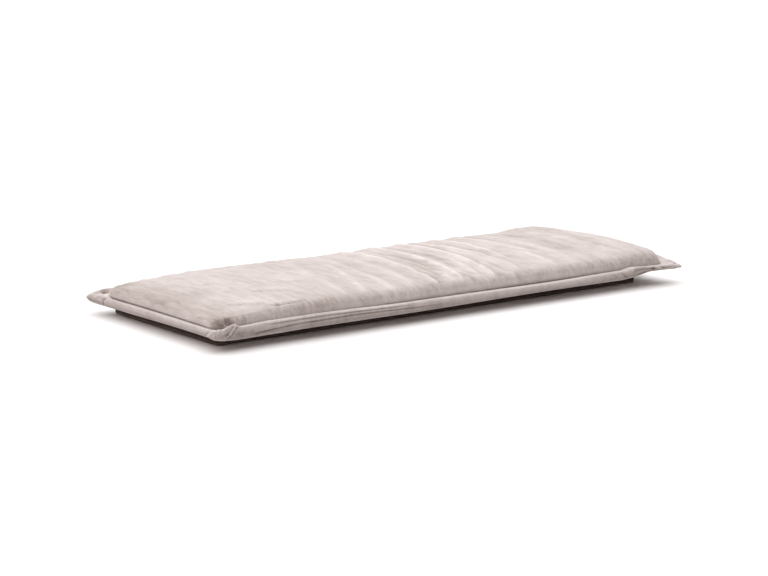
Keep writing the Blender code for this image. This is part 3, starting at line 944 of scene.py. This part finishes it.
def strip_relief(points, share_up, outer):
    """Two grooves along the front band and the puckers and sag of the outer fold, as relief.

    Beside it comes the painted shade: in the grooves and on the outer fold's lower part.
    """
    x, y = points[..., 0], points[..., 1]
    places, *heights = np.array(GROOVES).T
    groove = np.zeros_like(x)
    for height, (start, start_ease, end, end_ease, width, depth) in zip(heights, GROOVE_RUNS):
        run = eased((x - start) / start_ease) * eased((end - x) / end_ease)
        groove += depth * run * gaussian(share_up - np.interp(x, places, height), width)
    groove = groove * eased((-y - FRONT_FROM) / FRONT_EASE) * outer
    relief = -GROOVE_DEPTH * groove
    under = outer * eased((UNDER_TOP - share_up) / UNDER_EASE)
    pucker = sines(x, y, 31, 8, 0.090, 0.016, 0.0, 3.0)
    sag = sines(x, y, 32, 5, 0.300, 0.080, 0.6, 0.5)
    relief = relief + outer * (STRIP_PUCKER * pucker + STRIP_SAG * sag)
    return relief, -GROOVE_PAINTED_SHADE * groove - UNDER_PAINTED_SHADE * under


border_cloth = make_cover("sand_border_cloth", 0.4)

strip_u, strip_v = round_the_rim(
    graded(STRIP_LONG_STEPS, STRIP_GRADE), graded(STRIP_SHORT_STEPS, STRIP_GRADE)
)
section = closed_spline(np.array(STRIP_SECTION), STRIP_AROUND)
strip = strip_surface(strip_u, strip_v, section)
outer_share = eased((section[:, 0] - OUTER_FROM) / OUTER_EASE)[None, :]
wrapped = np.pad(strip, ((2, 2), (2, 2), (0, 0)), mode="wrap")
strip_normals = -normals_of(wrapped)[2:-2, 2:-2]
creased, strip_rubbed = strip_relief(strip, section[None, :, 1], outer_share)
folded, folds_rubbed = along_paths(strip, FOLDS)
# The strip's painted light and shade: highlights on raised folds; shade in sunk folds, grooves,
# pulled hollows and on the outer fold's lower part; painted light on the seam side.
strip_rubbed = strip_rubbed + folds_rubbed + pull_painted_shade(strip, STRIP_PULLS)
strip_rubbed = strip_rubbed + SEAM_SIDE_PAINTED_LIGHT * (1 - outer_share)
strip = pulled(strip + strip_normals * (creased + folded)[..., None], STRIP_PULLS)
strip_index = np.arange(strip.shape[0] * strip.shape[1]).reshape(strip.shape[:2])
onward, around = np.roll(strip_index, -1, axis=0), np.roll(strip_index, -1, axis=1)
strip_faces = np.stack(
    [strip_index, around, np.roll(around, -1, axis=0), onward], axis=-1
).reshape(-1, 4).tolist()
strip_points, strip_map = strip.reshape(-1, 3), cloth_map(strip)
border = add_piece("border_strip_cloth", strip_points, strip_faces, strip_map, border_cloth)
set_rubbed(border, strip_rubbed.ravel())
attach(border, "root")
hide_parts("border_strip")


# The border's sewing thread. One row of short stitches of pale thread goes through the strip's
# inner edge into the pad, all round, and sinks a little into the cloth.

STITCH_RADIUS, STITCH_SINK = 0.00035, 0.0004
AHEAD = 0.001  # how far on along its line a stitch looks for its direction
SEAM_STITCH_PITCH, SEAM_STITCH_LENGTH = 0.0046, 0.0036
SEAM_STITCH_AT = 0.15  # of the way from the seam to the edge


def add_stitches(name, line, outward, pitch, length, material):
    """A piece of short stitches along a closed line, each a bowed thread of round section.

    With s from -1 to 1 along a stitch, its middle line is the line's point, plus s half lengths
    along, less the sink times s^2 along the outward direction, and its radius is that of the
    thread times the root of 1 - s^4.
    """
    steps = np.linalg.norm(np.roll(line, -1, axis=0) - line, axis=-1)
    run = np.append(0, np.cumsum(steps))
    closed, facing = np.concatenate([line, line[:1]]), np.concatenate([outward, outward[:1]])
    count = int(run[-1] / pitch)
    at = (np.arange(count) + 0.5) * run[-1] / count
    middle, up = read_at(at, run, closed), unit(read_at(at, run, facing))
    along = unit(read_at(at + AHEAD, run, closed) - middle)
    side = np.cross(along, up)
    s = np.array([-0.98, -0.75, -0.3, 0.3, 0.75, 0.98])[None, :, None, None]
    turn = np.arange(6)[None, None, :, None] * np.pi / 3
    round_about = np.cos(turn) * side[:, None, None] + np.sin(turn) * up[:, None, None]
    centre = middle[:, None, None] + s * length / 2 * along[:, None, None]
    centre = centre - STITCH_SINK * s**2 * up[:, None, None]
    points = centre + STITCH_RADIUS * np.sqrt(1 - s**4) * round_about
    index = np.arange(points[..., 0].size).reshape(points.shape[:3])
    onward, turned = index[:, 1:], np.roll(index, -1, axis=2)
    tubes = np.stack([index[:, :-1], onward, turned[:, 1:], turned[:, :-1]], axis=-1)
    ends = index[:, 0].tolist() + index[:, -1, ::-1].tolist()
    points, faces = points.reshape(-1, 3), tubes.reshape(-1, 4).tolist() + ends
    return add_piece(name, points, faces, points[:, :2], material)


def make_thread(name, tone):
    """Sewing thread: one tone with a faint ply from fine noise, and a soft shine."""
    material, tree, shader = new_material(name, {"Roughness": 0.55, "Sheen Weight": 0.1})
    at = tree.nodes.new("ShaderNodeTexCoord")
    ply = set_group(tree, nap, at.outputs["Object"], Streak=0.3)
    dark = [0.7 * part for part in tone]
    set_tones(tree, shader, ply.outputs["Fibre"], ((0.0, dark), (1.0, tone)))
    return material


stitch_column = int(np.argmin(np.abs(section[:, 0] - SEAM_STITCH_AT) - (section[:, 1] > 0.5)))
seam_thread = add_stitches(
    "border_seam_thread",
    strip[:, stitch_column],
    strip_normals[:, stitch_column],
    SEAM_STITCH_PITCH,
    SEAM_STITCH_LENGTH,
    make_thread("sand_thread", (0.56, 0.50, 0.47)),
)
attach(seam_thread, "root")


# The underside cloth. One piece of plain dark cloth, sewn on underneath and turned up a little
# all round, which the cushion lies on.

BASE_CLOTH, BASE_TURN, BASE_HEIGHT = 0.0025, 0.004, 0.013
BASE_HEM = 0.0010  # how far the upper edge is rounded over
BASE_SECTION = (
    # inset, height: up the outside, over the upper edge and down the inside
    (BASE_TURN, 0),
    (BASE_TURN * 0.5, 0.0004),
    (BASE_TURN * 0.15, 0.0016),
    (0, BASE_TURN),
    (0, BASE_HEIGHT - BASE_HEM),
    (0.0008, BASE_HEIGHT),
    (0.0018, BASE_HEIGHT),
    (BASE_CLOTH, BASE_HEIGHT - BASE_HEM),
    (BASE_CLOTH, BASE_CLOTH + BASE_TURN),
    (BASE_CLOTH + BASE_TURN, BASE_CLOTH),
)
BASE_TONES = (
    # share, colour: from the deepest painted shade, under the strip and at the floor line, to the
    # lightest tone just above the floor
    (0.0, (0.016, 0.011, 0.010)),
    (0.45, (0.075, 0.056, 0.049)),
    (1.0, (0.240, 0.186, 0.166)),
)
FLOOR_LINE_SHADE_EDGE, BASE_SHADING_LOW, BASE_SHADING_FALL = 500.0, 0.90, -75.0  # the first and last per metre of height
BASE_SHADING_NAP, BASE_SHADING_OFFSET = 0.3, 0.15

base_cloth, base_tree, base_shader = new_material(
    "dark_base_cloth", {"Sheen Weight": 0.05, "Specular IOR Level": 0.15}
)
base_at = base_tree.nodes.new("ShaderNodeTexCoord")
base_nap = set_group(base_tree, nap, base_at.outputs["Object"], Streak=0.4)
base_weave = set_group(base_tree, weave, base_at.outputs["UV"], Pitch=0.0018)
base_place = base_tree.nodes.new("ShaderNodeSeparateXYZ")
base_tree.links.new(base_at.outputs["Object"], base_place.inputs[0])
# Painted shade: the dark cloth is darkest up under the border strip and along the floor line, and
# lightest just above the floor.
base_floor_line_shade = math_node(base_tree, "MULTIPLY", base_place.outputs[2], FLOOR_LINE_SHADE_EDGE)
base_floor_line_shade = math_node(base_tree, "MINIMUM", base_floor_line_shade, 1.0)
base_painted_shading = math_node(base_tree, "MULTIPLY_ADD", base_place.outputs[2], BASE_SHADING_FALL, BASE_SHADING_LOW)
base_painted_shading = math_node(base_tree, "MULTIPLY", base_painted_shading, base_floor_line_shade)
base_painted_shading = math_node(base_tree, "MULTIPLY_ADD", base_nap.outputs["Shade"], BASE_SHADING_NAP, base_painted_shading)
base_painted_shading = math_node(base_tree, "SUBTRACT", base_painted_shading, BASE_SHADING_OFFSET)
set_tones(base_tree, base_shader, base_painted_shading, BASE_TONES)
base_rough = math_node(base_tree, "MULTIPLY_ADD", base_nap.outputs["Fibre"], 0.2, 0.75)
base_tree.links.new(base_rough, base_shader.inputs["Roughness"])
set_bump(base_tree, base_shader, base_weave.outputs["Height"], 0.0006, 1.0)

base_u, base_v = round_the_rim(graded(220, 0.5), graded(80, 0.5))
base_loops = foot_loops(base_u, base_v, BASE_SECTION)
base_numbers = [level * len(base_u) + np.arange(len(base_u)) for level in range(len(base_loops))]
base_faces = []
for lower, upper in zip(base_numbers[:-1], base_numbers[1:]):
    base_faces += ring_quads(lower, upper)
base_faces.append(base_numbers[0][::-1].tolist())
base_faces.append(base_numbers[-1].tolist())
base_points = np.concatenate(base_loops)
base = add_piece("base_cloth", base_points, base_faces, base_points[:, :2], base_cloth)
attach(base, "root")
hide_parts("underside_cloth")


# The hem's sewing thread. One row of short stitches of dark thread goes round just under the
# upper edge of the underside cloth and holds it to the pad.

HEM_STITCH_PITCH, HEM_STITCH_LENGTH, HEM_STITCH_HEIGHT = 0.0050, 0.0038, 0.0100

hem_line = at_height(foot_line(base_u, base_v, -0.0001), HEM_STITCH_HEIGHT)
hem_ahead = np.roll(hem_line, -1, axis=0) - np.roll(hem_line, 1, axis=0)
hem_outward = np.stack([hem_ahead[:, 1], -hem_ahead[:, 0], np.zeros(len(hem_line))], axis=-1)
hem_thread = add_stitches(
    "underside_hem_thread",
    hem_line,
    hem_outward,
    HEM_STITCH_PITCH,
    HEM_STITCH_LENGTH,
    make_thread("dark_thread", (0.060, 0.048, 0.043)),
)
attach(hem_thread, "root")


# The floor, the light and the camera. A plain white floor under a wide soft light from above and
# a little behind, with a weaker one from the side, and a long lens a few paces away.

FLOOR_HALF, FLOOR_HEIGHT = 30, -0.0002
floor_corners = [
    (x * FLOOR_HALF, y * FLOOR_HALF, FLOOR_HEIGHT) for x, y in ((-1, -1), (1, -1), (1, 1), (-1, 1))
]
floor_mesh = bpy.data.meshes.new("floor")
floor_mesh.from_pydata(floor_corners, [], [(0, 1, 2, 3)])
floor = placed("floor", floor_mesh)
floor_look = {"Base Color": (0.765, 0.755, 0.75, 1), "Roughness": 0.9, "Specular IOR Level": 0}
floor_mesh.materials.append(new_material("white_floor", floor_look)[0])

world = bpy.data.worlds.new("studio")
bpy.context.scene.world = world
world.use_nodes = True
sky = {"Color": (1.0, 0.76, 0.68, 1), "Strength": 0.24}
set_inputs(world.node_tree.nodes["Background"], sky)

for name, energy, colour, angle, tilt, turn in (
    ("key", 4.75, (0.958, 1.0, 1.02), 120, 18, 165),
    ("fill", 0.62, (1.0, 0.80, 0.73), 80, 62, 250),
):
    lamp = bpy.data.lights.new(name, "SUN")
    lamp.energy = energy
    lamp.color = colour
    lamp.angle = math.radians(angle)
    placed(name, lamp).rotation_euler = (math.radians(tilt), 0, math.radians(turn))

camera = placed("camera", bpy.data.cameras.new("camera"))
camera.data.lens = 100
camera.data.sensor_width = 36
camera.location = (-2.6618, -3.5112, 0.8695)
camera.rotation_euler = (math.radians(90 - 10.910), 0, math.radians(-36.873))
bpy.context.scene.camera = camera
bpy.context.scene.view_settings.view_transform = "Standard"
